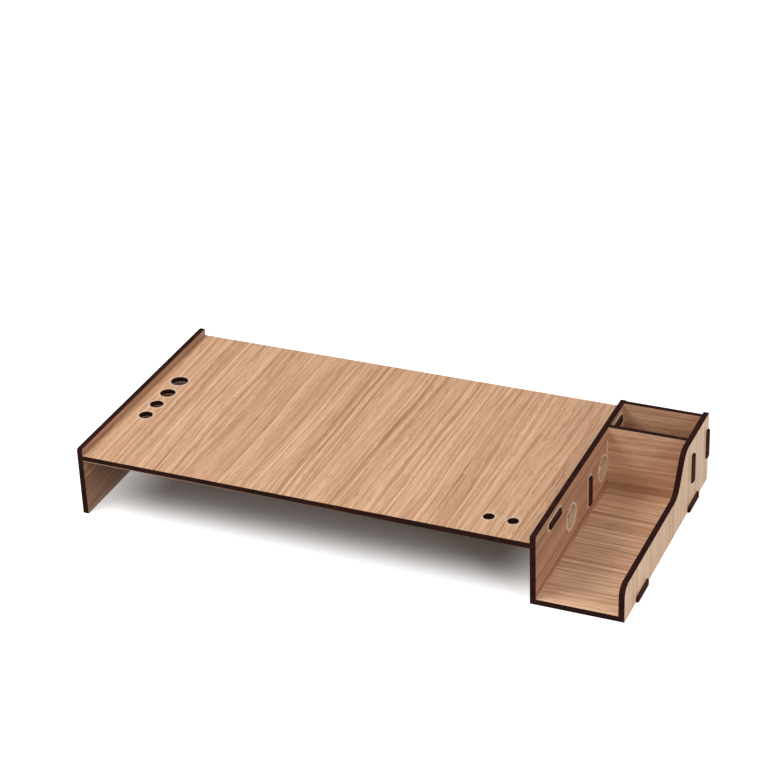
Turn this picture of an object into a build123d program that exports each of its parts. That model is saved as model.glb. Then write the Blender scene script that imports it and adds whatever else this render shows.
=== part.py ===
from build123d import *
import os

# Flat-pack laptop stand with an open side tray, cut from one thickness of
# wood-faced board and put together with tabs and slots, without screws or glue.
# Axes: +X to the right (towards the tray), +Y to the rear, +Z up.
# Lengths are in millimetres. The outlines are drawn from the stand's
# left, front, bottom corner, and place() moves each finished panel so that the
# origin is at the centre of the footprint, on the table.

# ---------------------------------------------------------------- board
board = 6.0              # thickness of every panel
fit = 0.15               # clearance on each side of a tab in its slot
proud = 2.4              # how far a through tab stands out of the far face
tab_chamfer = 1.2        # bevel on the leading corners of a tab

# ---------------------------------------------------------------- stand
stand_w = 485.0          # left panel's outer face to the middle panel's tray face
depth = 275.0            # front to back, all panels
side_h = 75.0            # height of the left and middle panels
lip = 7.5                # the side panels stand this far above the deck
side_corner_r = 3.0      # rounded top front corner of the side panels

deck_tab = 32.0          # length of the deck's tabs along the side panels
deck_tab_front = 37.0    # front edge to the front tab
deck_tab_rear = 17.0     # rear edge to the rear tab

brace_y = 155.0          # front face of the upright brace, between the third and fourth pen holes
brace_tab = 32.0         # height of the brace's end tabs
brace_tab_z = 18.5       # table to the lower edge of those tabs

cable_hole_d = 24.0      # round cable holes in the middle panel
cable_hole_z = 37.0      # height of their centres
cable_hole_front_y = 103.5
cable_hole_rear_y = 200.5

pen_hole_d = (14.0, 14.0, 16.0, 18.0)  # front to back
pen_hole_gap = 10.0      # board left between neighbouring pen holes
pen_hole_first_y = 95.8  # centre of the front pen hole
pen_hole_x = 27.0        # centre line of the pen holes

small_hole_d = 11.0      # two small holes at the deck's right front corner
small_hole_y = 31.0
small_hole_inset = 27.5  # middle panel's inner face to the nearer hole
small_hole_pitch = 24.5

# ---------------------------------------------------------------- side tray
tray_w = 87.0            # middle panel's tray face to the outer panel's outer face
tray_front_h = 38.0      # low front part of the outer panel
tray_rear_h = 77.0       # high rear part of the outer panel
tray_front_r = 12.0      # rounded front top corner of the outer panel
tray_step_foot_y = 169.0  # corner where the low edge meets the slope, before rounding
tray_step_head_y = 194.0  # corner where the slope meets the high edge
tray_step_r = 20.0       # rounding of both corners

divider_y = 215.0        # front face of the divider between tray and pocket
back_inset = 3.0         # rear edge of the long panels to the tray's back panel
partition_top = 76.0     # top edge of the divider and of the tray's back panel
partition_tab = 32.0     # height of their end tabs
partition_tab_z = 28.5   # table to the lower edge of those tabs

floor_tab = 34.0         # length of the floor's tabs along the panels
floor_tab_inset = 36.0   # end of the panel to the nearer tab

# ---------------------------------------------------------------- derived places
deck_top = side_h - lip
deck_under = deck_top - board
middle_inner_x = stand_w - board
outer_inner_x = stand_w + tray_w - board
overall_w = stand_w + tray_w
back_y = depth - back_inset - board
deck_tab_starts = (deck_tab_front, depth - deck_tab_rear - deck_tab)
floor_tab_starts = (floor_tab_inset, depth - floor_tab_inset - floor_tab)


# ---------------------------------------------------------------- helpers
def rect(u0, u1, v0, v1):
    """Rectangle given by its two ranges in the sketch plane."""
    return Pos((u0 + u1) / 2, (v0 + v1) / 2) * Rectangle(u1 - u0, v1 - v0)


def disc(u, v, diameter):
    """Circle at a point of the sketch plane."""
    return Pos(u, v) * Circle(diameter / 2)


def tab(root, tip, side0, side1):
    """Tab from its root line to its tip, with both leading corners bevelled."""
    step = tab_chamfer if tip > root else -tab_chamfer
    points = [(root, side0), (tip - step, side0), (tip, side0 + tab_chamfer),
              (tip, side1 - tab_chamfer), (tip - step, side1), (root, side1)]
    return make_face(Polyline(*points, close=True))


def slot(start, length, low, high):
    """Opening for a tab: its range along the panel and across it, plus the fit."""
    return rect(start - fit, start + length + fit, low - fit, high + fit)


def side_board(outline, x):
    """Panel that stands front to back; the outline is drawn in Y and Z."""
    return extrude(Plane.YZ.offset(x) * outline, board)


def cross_board(outline, y):
    """Panel that stands left to right; the outline is drawn in X and Z."""
    return extrude(Plane((0, y, 0), x_dir=(1, 0, 0), z_dir=(0, -1, 0)) * outline, -board)


def flat_board(outline, z):
    """Panel that lies flat; the outline is drawn in X and Y."""
    return extrude(Plane.XY.offset(z) * outline, board)


def place(panel):
    """Move a panel from corner coordinates to the part's own frame."""
    return Pos(-overall_w / 2, -depth / 2, 0) * panel


# ---------------------------------------------------------------- the stand
def side_outline():
    """Left and middle panel outline: a rectangle with its top front corner rounded."""
    outline = rect(0, depth, 0, side_h)
    corner = outline.vertices().sort_by(Axis.Y)[-2:].sort_by(Axis.X)[0]
    return fillet(corner, side_corner_r)


def stand_slots():
    """Slots for the deck's two tabs and for the brace's tab."""
    slots = [slot(start, deck_tab, deck_under, deck_top) for start in deck_tab_starts]
    return slots + [slot(brace_y, board, brace_tab_z, brace_tab_z + brace_tab)]


def left_side_panel():
    return side_board(side_outline() - stand_slots(), 0)


def middle_side_panel():
    outline = side_outline() - stand_slots()
    for y in (cable_hole_front_y, cable_hole_rear_y):
        outline -= disc(y, cable_hole_z, cable_hole_d)
    outline -= partition_slots()
    outline -= floor_slots()
    return side_board(outline, middle_inner_x)


def top_panel():
    outline = rect(board, middle_inner_x, 0, depth)
    for start in deck_tab_starts:
        outline += tab(board, -proud, start, start + deck_tab)
        outline += tab(middle_inner_x, stand_w + proud, start, start + deck_tab)
    y = pen_hole_first_y
    for i, diameter in enumerate(pen_hole_d):
        if i:
            y += pen_hole_d[i - 1] / 2 + pen_hole_gap + diameter / 2
        outline -= disc(pen_hole_x, y, diameter)
    for i in range(2):
        outline -= disc(middle_inner_x - small_hole_inset - i * small_hole_pitch,
                        small_hole_y, small_hole_d)
    return flat_board(outline, deck_under)


def brace():
    outline = rect(board, middle_inner_x, 0, deck_under)
    top = brace_tab_z + brace_tab
    outline += tab(board, -proud, brace_tab_z, top)
    outline += tab(middle_inner_x, stand_w + proud, brace_tab_z, top)
    return cross_board(outline, brace_y)


# ---------------------------------------------------------------- the side tray
def partition_slots():
    """Slots for the tabs of the divider and of the tray's back panel."""
    top = partition_tab_z + partition_tab
    return [slot(y, board, partition_tab_z, top) for y in (divider_y, back_y)]


def floor_slots():
    """Notches for the floor's tabs, open at the bottom edge."""
    return [rect(start - fit, start + floor_tab + fit, -board, board + fit)
            for start in floor_tab_starts]


def tray_outer_panel():
    path = Polyline((0, 0), (0, tray_front_h), (tray_step_foot_y, tray_front_h),
                    (tray_step_head_y, tray_rear_h), (depth, tray_rear_h), (depth, 0), close=True)
    outline = make_face(path)

    def corner(u, v):
        return outline.vertices().sort_by_distance((u, v, 0))[0]

    outline = fillet(corner(tray_step_foot_y, tray_front_h), tray_step_r)
    outline = fillet(corner(tray_step_head_y, tray_rear_h), tray_step_r)
    outline = fillet(corner(0, tray_front_h), tray_front_r)
    return side_board(outline - partition_slots() - floor_slots(), outer_inner_x)


def partition():
    """Divider and back panel share one outline, with a tab at each end."""
    outline = rect(stand_w, outer_inner_x, board, partition_top)
    top = partition_tab_z + partition_tab
    outline += tab(stand_w, middle_inner_x - proud, partition_tab_z, top)
    outline += tab(outer_inner_x, overall_w + proud, partition_tab_z, top)
    return outline


def tray_divider():
    return cross_board(partition(), divider_y)


def tray_back_panel():
    return cross_board(partition(), back_y)


def tray_floor():
    outline = rect(stand_w, outer_inner_x, 0, depth)
    for start in floor_tab_starts:
        outline += tab(stand_w, middle_inner_x - proud, start, start + floor_tab)
        outline += tab(outer_inner_x, overall_w + proud, start, start + floor_tab)
    return flat_board(outline, 0)


# ---------------------------------------------------------------- write the pieces
panels = (left_side_panel, middle_side_panel, top_panel, brace,
          tray_outer_panel, tray_divider, tray_back_panel, tray_floor)

os.makedirs("parts", exist_ok=True)
for make in panels:
    export_step(place(make()), f"parts/{make.__name__}.step")
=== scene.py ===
# %% [markdown]
# # A flat-pack laptop stand in laser-cut, wood-faced board
#
# The stand is eight flat boards of 6 mm fibreboard. Each board has a printed wood-grain
# film on both faces. A laser cuts the outline, so every cut edge is burnt nearly black,
# and the boards lock together with tabs and slots. The shape is simple. What the eye
# reads is the contrast between the light grain and the dark edges, so nearly all of
# the work in this lesson goes into those two finishes.

# %% Load the frame
import bpy
import math
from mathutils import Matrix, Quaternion, Vector


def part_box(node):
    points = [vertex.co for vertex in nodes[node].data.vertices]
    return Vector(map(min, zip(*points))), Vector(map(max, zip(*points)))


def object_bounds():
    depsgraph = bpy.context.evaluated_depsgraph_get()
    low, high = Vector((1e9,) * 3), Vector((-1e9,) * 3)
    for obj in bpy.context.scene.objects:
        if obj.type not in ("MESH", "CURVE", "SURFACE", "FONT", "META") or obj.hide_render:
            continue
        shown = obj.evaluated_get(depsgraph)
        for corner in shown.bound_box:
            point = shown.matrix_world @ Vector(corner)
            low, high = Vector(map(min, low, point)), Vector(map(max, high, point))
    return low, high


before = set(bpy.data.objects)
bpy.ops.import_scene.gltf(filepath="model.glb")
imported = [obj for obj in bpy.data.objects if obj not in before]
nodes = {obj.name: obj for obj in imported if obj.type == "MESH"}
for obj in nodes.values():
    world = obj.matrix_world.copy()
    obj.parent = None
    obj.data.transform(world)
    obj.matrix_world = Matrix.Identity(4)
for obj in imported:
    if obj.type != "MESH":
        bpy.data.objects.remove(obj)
cad_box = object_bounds()
MM = 0.001
X, Y, Z = 0, 1, 2
print("boards:", ", ".join(sorted(nodes)))
print("size in mm:", [round((high - low) / MM, 1) for low, high in zip(*cad_box)])

# %% [markdown]
# ## Small helpers
#
# Colours are written as sRGB hex values, as a colour picker shows them, while Blender's
# sockets want linear light, so one function converts them. A second function adds one
# node with its settings and links. It fills the inputs that are in use in the order in
# which the node shows them, so a material reads from top to bottom like a recipe.


# %% Colour and node helpers
def linear(hex_colour):
    """An sRGB hex value such as c49a7a, as linear red, green, blue and alpha."""
    channels = [int(hex_colour[i:i + 2], 16) / 255 for i in (0, 2, 4)]
    return [c / 12.92 if c <= 0.04045 else ((c + 0.055) / 1.055) ** 2.4 for c in channels] + [1.0]


def add(tree, kind, settings=None, *inputs, **named_inputs):
    """One node. An input is a number, a colour, a socket, or a node whose first output is used."""
    node = tree.nodes.new("ShaderNode" + kind)
    for name, value in (settings or {}).items():
        setattr(node, name, value)
    sockets = [socket for socket in node.inputs if socket.enabled]
    filled = list(zip(sockets, inputs))
    filled += [(node.inputs[name.replace("_", " ")], value) for name, value in named_inputs.items()]
    for socket, value in filled:
        if isinstance(value, bpy.types.Node):
            value = next(output for output in value.outputs if output.enabled)
        if isinstance(value, bpy.types.NodeSocket):
            tree.links.new(value, socket)
        else:
            socket.default_value = value
    return node


print("mid tan in linear light:", [round(c, 3) for c in linear("c4997a")])

# %% [markdown]
# ## Where a point lies on its board
#
# Every pattern below is laid out in millimetres on the board: along the grain, across
# the grain and through the thickness. The boards stand in three directions and the
# printed grain runs differently on each, so the material turns the object's own X, Y
# and Z into those three. Object coordinates are the real places in the frame, so the
# pattern stays at its real scale, and neighbouring boards don't share one picture.


# %% Board coordinates
def board_point(tree, source, grain, through):
    """Place in mm as (along the grain, across it, through the board)."""
    place = add(tree, "VectorMath", {"operation": "SCALE"}, source.outputs["Object"], 1 / MM)
    split = add(tree, "SeparateXYZ", None, place)
    across = 3 - grain - through
    turned = [split.outputs[axis] for axis in (grain, across, through)]
    return add(tree, "CombineXYZ", None, *turned)


# %% [markdown]
# ## The printed oak film
#
# The film is melamine paper: oak grain printed on paper and pressed under resin. It
# gives the eye long, nearly straight growth lines a few millimetres apart, in two close
# tans, with fine fibres and short dark pores, under a dry satin surface. A photo texture
# would be the usual way, but noise stretched along the grain gives the same reading at
# any size and needs no image. A slow drift bends the lines into long flames, and a small
# one gives them a hand-cut wobble. The growth lines are a noise of one dimension, read
# across the bent lines, so each line runs unbroken from end to end. Oak pores are
# usually about 0.3 mm wide, too fine to show here, so they are drawn at 0.8 mm.

# %% Sizes of the grain, in mm (along the grain, across it), noise detail, and sideways reach
BENDS = ((400.0, 75.0, 1.0, 7.0), (90.0, 12.0, 1.0, 0.9))
LAYERS = {
    "bands": (500.0, 24.0, 2.0),
    "fibres": (60.0, 1.1, 3.0),
    "pores": (16.0, 0.8, 1.0),
}
GROWTH_LINE = 4.8        # widest spacing of the growth lines
GRAIN_DETAIL = 3.0       # each octave halves that spacing
PORE_RANGE = (0.60, 0.72)  # noise values where a pore begins and where it is full


def oak_film(tree, point, film, offset):
    """Colour and height of the printed oak film."""
    bent = add(tree, "VectorMath", {"operation": "ADD"}, point, offset)
    for along, across, detail, reach in BENDS:
        stretch = (1 / along, 1 / across, 1 / across)
        scaled = add(tree, "VectorMath", {"operation": "MULTIPLY"}, bent, stretch)
        drift = add(tree, "TexNoise", None, scaled, Scale=1.0, Detail=detail)
        push = add(tree, "MapRange", {"clamp": False}, drift, 0.25, 0.75, -reach, reach)
        sideways = add(tree, "CombineXYZ", None, 0.0, push, 0.0)
        bent = add(tree, "VectorMath", {"operation": "ADD"}, bent, sideways)

    layers = {}
    for name, (along, across, detail) in LAYERS.items():
        stretch = (1 / along, 1 / across, 1 / across)
        scaled = add(tree, "VectorMath", {"operation": "MULTIPLY"}, bent, stretch)
        layers[name] = add(tree, "TexNoise", None, scaled, Scale=1.0, Detail=detail, Roughness=0.6)
    line = add(tree, "SeparateXYZ", None, bent).outputs["Y"]
    layers["growth"] = add(tree, "TexNoise", {"noise_dimensions": "1D"}, W=line, Scale=1 / GROWTH_LINE,
                           Detail=GRAIN_DETAIL, Roughness=0.62)

    tone = 0.5 - sum(film["weights"].values()) / 2
    for name, weight in film["weights"].items():
        tone = add(tree, "Math", {"operation": "MULTIPLY_ADD"}, layers[name], weight, tone)
    colour = add(tree, "Mix", {"data_type": "RGBA"}, tone, linear(film["dark"]), linear(film["light"]))
    pores = add(tree, "MapRange", None, layers["pores"], *PORE_RANGE, 0.0, film["pores"])
    colour = add(tree, "Mix", {"data_type": "RGBA"}, pores, colour, linear(film["pore"]))
    height = add(tree, "Math", {"operation": "SUBTRACT"}, layers["fibres"], pores)
    return colour, height


print("growth lines up to", GROWTH_LINE, "mm apart, fibres", LAYERS["fibres"][1], "mm wide")

# %% [markdown]
# ## The laser-cut edge
#
# A laser burns its way through the board, so the core of the edge turns from brown
# fibreboard to dry charcoal brown, almost black. The beam pulses leave fine upright
# lines. The thin film burns less than the core, so each face shows as a hair line of
# lighter brown along the edge. Such a film is usually about 0.2 mm thick, and the line
# is drawn at 0.5 mm so that it shows. A pale line is seen under the deck's front edge,
# mostly at the left end. It is taken to be the side where the beam left the board.

# %% Sizes and colours of the edge
BOARD = 6.0              # mm, thickness of every board
FILM_LINE = 0.5          # mm, drawn width of the film along a cut edge
EXIT_LINE = 0.8          # mm, drawn width of the pale line under the deck's edge
EXIT_FADE = (-240.0, 60.0)   # mm, where that line begins to fade and where it has gone
BEAM_LINE = 1.4          # mm, drawn spacing of the lines that the beam leaves
PATCH = 18               # mm, size of the patches where the edge is burnt more or less
BURN_RANGE = (0.16, 0.38)  # noise values between which deep char turns brown
CHAR = {"deep": "190805", "brown": "38150e", "film": "4a2a1d", "exit": "cfa282", "bare": "d9b894"}


def burnt_edge(tree, point, middle, has_exit_line):
    """Colour and height of a burnt cut edge; middle is the board's mid-plane, in mm."""
    lines = add(tree, "VectorMath", {"operation": "MULTIPLY"}, point,
                (1 / BEAM_LINE, 1 / BEAM_LINE, 1 / (6 * BOARD)))
    beam = add(tree, "TexNoise", None, lines, Scale=1.0, Detail=2.0)
    patches = add(tree, "TexNoise", None, point, Scale=1 / PATCH, Detail=3.0)
    burn = add(tree, "Math", {"operation": "MULTIPLY"}, beam, patches)
    burn = add(tree, "MapRange", None, burn, *BURN_RANGE, 0.0, 1.0)
    colour = add(tree, "Mix", {"data_type": "RGBA"}, burn, linear(CHAR["deep"]), linear(CHAR["brown"]))
    split = add(tree, "SeparateXYZ", None, point)
    depth = add(tree, "Math", {"operation": "SUBTRACT"}, split.outputs["Z"], middle)
    side = add(tree, "Math", {"operation": "ABSOLUTE"}, depth)
    film_start = BOARD / 2 - FILM_LINE
    film = add(tree, "MapRange", None, side, film_start, film_start + 0.4 * FILM_LINE, 0.0, 1.0)
    colour = add(tree, "Mix", {"data_type": "RGBA"}, film, colour, linear(CHAR["film"]))
    if has_exit_line:
        above = add(tree, "Math", {"operation": "ADD"}, depth, BOARD / 2)
        pale = add(tree, "MapRange", None, above, EXIT_LINE, 0.7 * EXIT_LINE, 0.0, 1.0)
        fade = add(tree, "MapRange", None, split.outputs["Y"], *EXIT_FADE, 1.0, 0.0)
        pale = add(tree, "Math", {"operation": "MULTIPLY"}, pale, fade)
        colour = add(tree, "Mix", {"data_type": "RGBA"}, pale, colour, linear(CHAR["exit"]))
    return colour, beam


print("edge: char", CHAR["deep"], "to", CHAR["brown"], "with a film line of", FILM_LINE, "mm")

# %% [markdown]
# ## Finding the holes and slots
#
# Two finishes follow the openings in a board. Round each of them lies a pale rim, with a
# hair line at the cut that is partly soot and partly painted shade, standing in for the
# dark gap round the tabs. The rim is a guess: the reference view has pale strips beside
# the cuts, and sharpening of the picture may have made most of them. And the two large
# cable holes have pale walls, as if milled, where all other cuts are burnt. Their places
# could be typed in again from the drawing. Reading them from the mesh is safer: the flat
# face of a board is bordered by its outline and by one closed loop of edges for each
# opening, so every loop but the largest is an opening.

# %% Openings in a board
RIM = 4.0                # mm, mean width of the pale rim
CHIP = 2.5               # mm, size of the ragged steps in that rim
RIM_COLOUR = "f0dccb"
# The dark line at the cut is partly laser soot and partly painted shade of the gap round the tabs.
SOOT_AND_PAINTED_SHADE = 0.35              # mm, drawn width of the dark line at the cut
CABLE_HOLE = 20.0        # mm, a round hole wider than this is a cable hole


def openings(board, grain, through):
    """Centre, straight half lengths and corner radius of each opening, in mm, on the board's face."""
    across = 3 - grain - through
    mesh = nodes[board].data
    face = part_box(board)[1][through]
    uses = {}
    for polygon in mesh.polygons:
        corners = [mesh.vertices[i].co for i in polygon.vertices]
        if all(abs(corner[through] - face) < 0.01 * MM for corner in corners):
            flat = [tuple(round(corner[axis] / MM, 2) for axis in (grain, across)) for corner in corners]
            for edge in zip(flat, flat[1:] + flat[:1]):
                uses[frozenset(edge)] = uses.get(frozenset(edge), 0) + 1
    border = [edge for edge, count in uses.items() if count == 1]
    loops = []
    while border:
        loop = set(border.pop())
        touching = [edge for edge in border if edge & loop]
        while touching:
            loop = loop.union(*touching)
            border = [edge for edge in border if edge not in touching]
            touching = [edge for edge in border if edge & loop]
        loops.append(loop)
    found = []
    for loop in loops:
        low, high = [[edge(point[i] for point in loop) for i in (0, 1)] for edge in (min, max)]
        half = [(b - a) / 2 for a, b in zip(low, high)]
        radius = half[0] if len(loop) > 8 else 0.0
        found.append(([(a + b) / 2 for a, b in zip(low, high)], [h - radius for h in half], radius))
    found.sort(key=lambda cut: (cut[1][0] + cut[2]) * (cut[1][1] + cut[2]))
    return found[:-1]


def gap_to(tree, point, cuts):
    """Distance in mm, along the face, to the nearest of some openings."""
    nearest = 1000.0
    for centre, half, radius in cuts:
        reach = add(tree, "VectorMath", {"operation": "SUBTRACT"}, point, (*centre, 0.0))
        reach = add(tree, "VectorMath", {"operation": "ABSOLUTE"}, reach)
        reach = add(tree, "VectorMath", {"operation": "SUBTRACT"}, reach, (*half, 1000.0))
        reach = add(tree, "VectorMath", {"operation": "MAXIMUM"}, reach, (0.0, 0.0, 0.0))
        reach = add(tree, "VectorMath", {"operation": "LENGTH"}, reach).outputs["Value"]
        gap = add(tree, "Math", {"operation": "SUBTRACT"}, reach, radius)
        nearest = add(tree, "Math", {"operation": "MINIMUM"}, gap, nearest)
    return nearest


def rimmed(tree, point, colour, cuts, rim):
    """The film's colour with a pale rim, and a dark line round each opening that is soot and painted
    shade.
    """
    gap = gap_to(tree, point, cuts)
    chips = add(tree, "TexNoise", None, point, Scale=1 / CHIP, Detail=2.0)
    width = add(tree, "Math", {"operation": "MULTIPLY"}, chips, 2 * RIM)
    faded = add(tree, "MapRange", None, gap, width, 0.0, 0.0, rim)
    colour = add(tree, "Mix", {"data_type": "RGBA"}, faded, colour, linear(RIM_COLOUR))
    # Painted shade: the dark line at the cut stands in for the gap and contact shadow round the tabs,
    # besides real laser soot.
    soot_and_painted_shade = add(tree, "MapRange", None, gap, SOOT_AND_PAINTED_SHADE, 0.0, 0.0, 1.0)
    return add(tree, "Mix", {"data_type": "RGBA"}, soot_and_painted_shade, colour, linear(CHAR["brown"]))


print("openings in the deck:", len(openings("top_panel", Y, Z)))

# %% [markdown]
# ## One board finish
#
# The film is only on the two faces of a board and the char only on its cut edges, so
# the surface's own direction decides between them: where it points through the board,
# it is a face. The tabs are the exception. Where they stand out of the next board their
# faces are burnt as well, so what lies past that board's outer face is char on all
# sides. Colours, roughness and height are mixed ahead of one Principled shader, because
# one shader exports cleanly. Resin film and charcoal are both dry, so the specular level
# is below that of a glossy plastic.

# %% Surface values
CHAR_ROUGHNESS = 0.9
FILM_ROUGHNESS = 0.42
SPECULAR_LEVEL = 0.15
BUMP_STRENGTH = 0.35
BUMP_HEIGHT = 0.15       # mm


# %% The board material
def board_material(board, grain, through, film, offset, tip_span=None):
    """Laminated fibreboard; tip_span is the range along X outside which its tabs are burnt."""
    low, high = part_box(board)
    middle = (low[through] + high[through]) / 2 / MM
    cuts = openings(board, grain, through)
    cable_holes = [cut for cut in cuts if 2 * cut[2] > CABLE_HOLE]

    material = bpy.data.materials.new("laser_cut_oak_film_" + board)
    material.use_nodes = True
    tree = material.node_tree
    tree.nodes.clear()
    source = add(tree, "TexCoord")
    point = board_point(tree, source, grain, through)
    film_colour, film_height = oak_film(tree, point, film, offset)
    if cuts:
        film_colour = rimmed(tree, point, film_colour, cuts, film["rim"])
    edge_colour, edge_height = burnt_edge(tree, point, middle, board == "top_panel")
    if cable_holes:
        bare = add(tree, "Math", {"operation": "LESS_THAN"}, gap_to(tree, point, cable_holes), 0.5)
        edge_colour = add(tree, "Mix", {"data_type": "RGBA"}, bare, edge_colour, linear(CHAR["bare"]))

    facing = add(tree, "SeparateXYZ", None, source.outputs["Normal"]).outputs[through]
    facing = add(tree, "Math", {"operation": "ABSOLUTE"}, facing)
    is_film = add(tree, "Math", {"operation": "GREATER_THAN"}, facing, 0.7)
    if tip_span:
        span_middle, span_half = sum(tip_span) / 2, (tip_span[1] - tip_span[0]) / 2
        along_x = add(tree, "SeparateXYZ", None, source.outputs["Object"]).outputs["X"]
        inside = add(tree, "Math", {"operation": "COMPARE"}, along_x, span_middle, span_half)
        is_film = add(tree, "Math", {"operation": "MULTIPLY"}, is_film, inside)
    colour = add(tree, "Mix", {"data_type": "RGBA"}, is_film, edge_colour, film_colour)
    roughness = add(tree, "Mix", None, is_film, CHAR_ROUGHNESS, FILM_ROUGHNESS)
    height = add(tree, "Mix", None, is_film, edge_height, film_height)
    bump = add(tree, "Bump", None, Strength=BUMP_STRENGTH, Distance=BUMP_HEIGHT * MM, Height=height)
    shader = add(tree, "BsdfPrincipled", None, Base_Color=colour, Roughness=roughness, Normal=bump,
                 Specular_IOR_Level=SPECULAR_LEVEL)
    add(tree, "OutputMaterial", None, Surface=shader)
    return material


# %% [markdown]
# ## Five lit and shaded copies of the same film
#
# Each tan was tuned until its board came out as bright as in the reference view, under
# the lamps below, so the tans carry painted light and shade: the side panels are darker
# as painted shade under the deck and in the tray, the tray floor is lighter to make up
# for the shade in the tray, and the outer panel is paler as painted sheen and light from
# the right. The five differ partly because the lamps differ from the original ones, and
# the real boards may be closer to each other. The outer panel's grain is upright. The rim
# is strongest round the cuts in the middle panel. The left panel has none, because it
# would show as two dashes above the deck.

# %% Film colours, and how much each layer of the grain counts
DECK_FILM = {"light": "ecc29c", "dark": "a87758", "pore": "73492f", "pores": 0.5, "rim": 0.35,
             "weights": {"bands": 0.7, "growth": 1.5, "fibres": 1.4}}
CROSS_FILM = {"light": "ddb593", "dark": "9e7054", "pore": "73492f", "pores": 0.5, "rim": 0.0,
              "weights": {"bands": 0.8, "growth": 1.5, "fibres": 1.4}}
# Painted light: the tray floor's tans are lighter to make up for the shade in the tray.
FLOOR_FILM_PAINTED_LIGHT = {"light": "fdd8b5", "dark": "b88564", "pore": "85583c", "pores": 0.5, "rim": 0.0,
              "weights": {"bands": 1.0, "growth": 1.5, "fibres": 1.4}}
# Painted shade: the side panels' tans are darker for the shade under the deck and in the tray.
SIDE_FILM_PAINTED_SHADE = {"light": "c89a7c", "dark": "7c553f", "pore": "5d3a26", "pores": 0.5, "rim": 0.85,
             "weights": {"bands": 0.8, "growth": 1.6, "fibres": 1.4}}
# Painted sheen and light: the outer panel's tans are paler for its sheen and the light from the right,
# and may be partly the board's own.
OUTER_FILM_PAINTED_SHEEN = {"light": "f8d6b5", "dark": "c69874", "pore": "a07350", "pores": 0.5, "rim": 0.6,
              "weights": {"bands": 1.2, "growth": 1.6, "fibres": 1.0}}

# %% Each board: grain axis, thickness axis, film, where its pattern starts, and its neighbours
STAND_SIDES = ("left_side_panel", "middle_side_panel")
TRAY_SIDES = ("middle_side_panel", "tray_outer_panel")
BOARDS = {
    "top_panel": (Y, Z, DECK_FILM, (40.0, 130.0, 0.0), STAND_SIDES),
    "left_side_panel": (Y, X, dict(SIDE_FILM_PAINTED_SHADE, rim=0.0), (310.0, 20.0, 0.0), None),
    "middle_side_panel": (Y, X, SIDE_FILM_PAINTED_SHADE, (95.0, 240.0, 0.0), None),
    "brace": (X, Y, CROSS_FILM, (700.0, 350.0, 0.0), STAND_SIDES),
    "tray_floor": (X, Z, FLOOR_FILM_PAINTED_LIGHT, (500.0, 410.0, 0.0), TRAY_SIDES),
    "tray_divider": (X, Y, CROSS_FILM, (620.0, 530.0, 0.0), TRAY_SIDES),
    "tray_back_panel": (X, Y, CROSS_FILM, (880.0, 610.0, 0.0), TRAY_SIDES),
    "tray_outer_panel": (Z, X, OUTER_FILM_PAINTED_SHEEN, (150.0, 760.0, 0.0), None),
}

for board, (grain, through, film, offset, sides) in BOARDS.items():
    tip_span = (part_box(sides[0])[0].x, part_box(sides[1])[1].x) if sides else None
    finish = board_material(board, grain, through, film, offset, tip_span)
    nodes[board].data.materials.clear()
    nodes[board].data.materials.append(finish)
    print(f"{board}: grain along {'XYZ'[grain]}, {len(openings(board, grain, through))} openings")

# %% [markdown]
# ## Floor and light
#
# The stand is shown on plain white. Only the camera's rays and reflections see the floor
# as white paper, lifted a little so that it stays white away from the lamps and still
# takes a soft shadow. The lift stops in front of the bay under the deck, so the bay and
# the holes above it stay as dark as the shadow makes them. Light that bounces sees a
# grey floor, so little of it comes up under the deck. The world gives even light from
# all round. A large lamp above on the left is the key, and one farther off at the right
# keeps the outer panel light.

# %% Floor
FLOOR_SIZE = 30.0        # metres, so that its edge stays out of view
FLOOR_LIFT = 0.58        # what the camera sees on top of the lit floor
BAY_FADE = (-70.0, 40.0)  # mm from the edge of the bay, between which the lift comes in

bpy.ops.mesh.primitive_plane_add(size=FLOOR_SIZE)
floor = bpy.context.object
floor.name = "floor"
floor.location.z = cad_box[0].z - 0.02 * MM
paper = bpy.data.materials.new("matt_white_paper")
paper.use_nodes = True
tree = paper.node_tree
tree.nodes.clear()
rays = add(tree, "LightPath").outputs
seen = add(tree, "Math", {"operation": "MAXIMUM"}, rays["Is Camera Ray"], rays["Is Glossy Ray"])
bay_low, bay_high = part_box("brace")[0] / MM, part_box("brace")[1] / MM
bay_half = ((bay_high.x - bay_low.x) / 2 + BAY_FADE[0], cad_box[1].y / MM + BAY_FADE[0])
bay = (((bay_low.x + bay_high.x) / 2, 0.0), bay_half, 0.0)
source = add(tree, "TexCoord")
floor_point = add(tree, "VectorMath", {"operation": "SCALE"}, source.outputs["Object"], 1 / MM)
gap = gap_to(tree, floor_point, [bay])
fade_width = BAY_FADE[1] - BAY_FADE[0]
smooth = {"interpolation_type": "SMOOTHSTEP"}
lift = add(tree, "MapRange", smooth, gap, 0.0, fade_width, 0.0, FLOOR_LIFT)
lift = add(tree, "Math", {"operation": "MULTIPLY"}, seen, lift)
shade = add(tree, "Mix", {"data_type": "RGBA"}, seen, linear("808080"), linear("f4f4f4"))
matt = add(tree, "BsdfDiffuse", None, shade)
glow = add(tree, "Emission", None, linear("ffffff"), lift)
both = add(tree, "AddShader", None, matt, glow)
add(tree, "OutputMaterial", None, Surface=both)
floor.data.materials.append(paper)
print("floor at", round(floor.location.z / MM, 2), "mm")

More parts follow.
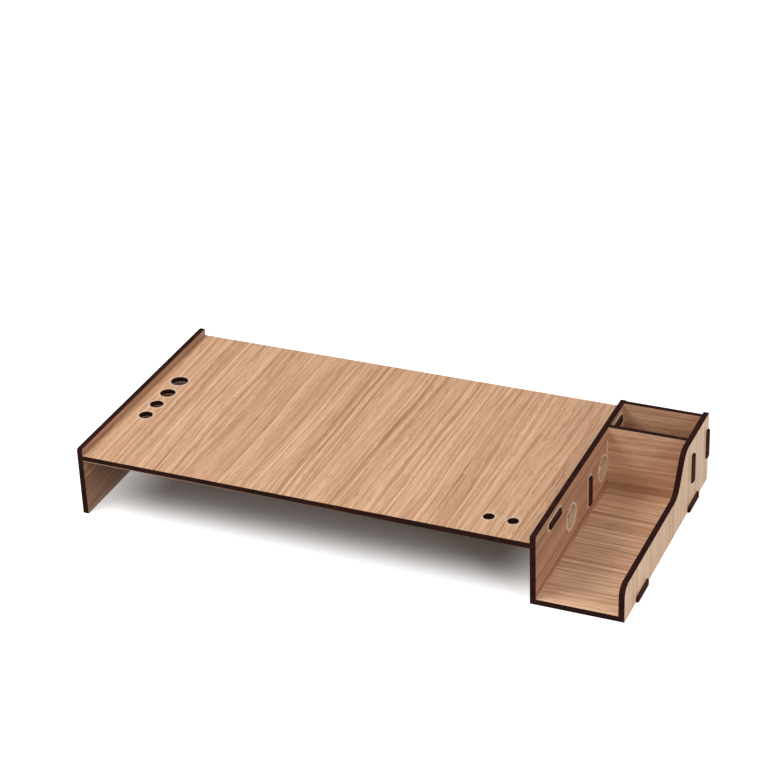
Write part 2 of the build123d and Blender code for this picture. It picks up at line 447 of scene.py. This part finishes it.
# %% World
WORLD_LIGHT = 0.52       # even light on the object
world = bpy.data.worlds.new("studio")
bpy.context.scene.world = world
world.use_nodes = True
tree = world.node_tree
tree.nodes.clear()
rays = add(tree, "LightPath")
strength = add(tree, "Mix", None, rays.outputs["Is Camera Ray"], WORLD_LIGHT, 1.0)
background = add(tree, "Background", None, linear("ffffff"), strength)
add(tree, "OutputWorld", None, Surface=background)


# %% Lamps
def soft_lamp(name, place, watts, size):
    """A square area lamp that faces the middle of the stand."""
    data = bpy.data.lights.new(name, "AREA")
    data.energy = watts
    data.size = size
    lamp = bpy.data.objects.new(name, data)
    lamp.location = place
    lamp.rotation_mode = "QUATERNION"
    lamp.rotation_quaternion = (-Vector(place)).to_track_quat("-Z", "Y")
    bpy.context.scene.collection.objects.link(lamp)
    return lamp


soft_lamp("key_above_left", (-0.75, -0.70, 1.35), 15.0, 0.8)
soft_lamp("fill_right", (1.9, -0.9, 0.8), 17.0, 1.0)

# %% [markdown]
# ## Camera
#
# The place, the direction and the lens were solved from the straight board edges in
# the reference view: a long lens from about 2.4 m, a little to the right, looking down
# at 29 degrees, with a slight roll.

# %% Camera
CAMERA_PLACE = Vector((832.75, -1908.9, 1276.93)) * MM
AZIMUTH = 23.799         # degrees to the right of the stand's front
ELEVATION = 28.849       # degrees above the horizon
ROLL = -2.155            # degrees about the line of sight
FOCAL = 112.584          # mm, on a sensor 36 mm wide

turn, rise = math.radians(AZIMUTH), math.radians(ELEVATION)
sight = Vector((-math.sin(turn) * math.cos(rise), math.cos(turn) * math.cos(rise), -math.sin(rise)))
camera_data = bpy.data.cameras.new("camera")
camera_data.sensor_width = 36.0
camera_data.lens = FOCAL
camera = bpy.data.objects.new("camera", camera_data)
camera.location = CAMERA_PLACE
camera.rotation_mode = "QUATERNION"
camera.rotation_quaternion = sight.to_track_quat("-Z", "Y") @ Quaternion((0, 0, 1), math.radians(ROLL))
bpy.context.scene.collection.objects.link(camera)
bpy.context.scene.camera = camera
bpy.context.scene.view_settings.view_transform = "Standard"
print("camera distance in m:", round(CAMERA_PLACE.length, 3))
